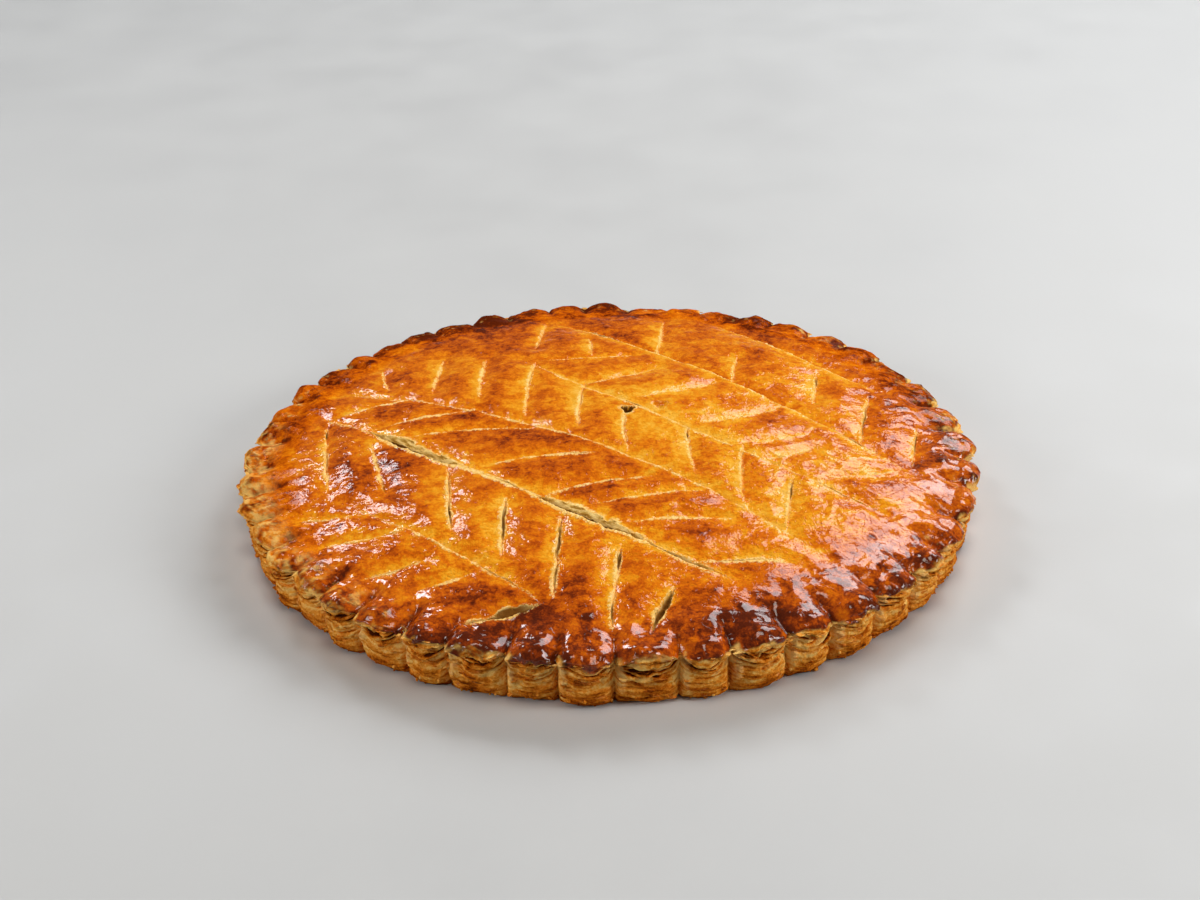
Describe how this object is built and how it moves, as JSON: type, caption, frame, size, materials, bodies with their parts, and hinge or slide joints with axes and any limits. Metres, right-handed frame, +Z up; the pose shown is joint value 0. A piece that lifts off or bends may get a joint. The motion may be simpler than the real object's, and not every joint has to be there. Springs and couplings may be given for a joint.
{
  "type": "galette des rois",
  "caption": "Whole round puff-pastry pie with a fluted rim, a shallow dome, a scored herringbone lid and flaky sides, resting on its flat base.",
  "frame": {"origin": "on the table, under the middle of the pie's box", "axes": "+Z up out of the lid; the long scores run from the back left (-X, +Y) to the front right (+X, -Y)"},
  "size_m": [0.2438, 0.2416, 0.0265],
  "materials": {
    "glazed_crust": "egg-washed and baked golden to mahogany, glossy",
    "flaky_side": "bare baked puff pastry, matte, pale in the layers"
  },
  "bodies": {
    "root": {"galette": "glazed_crust"}
  },
  "joints": []
}
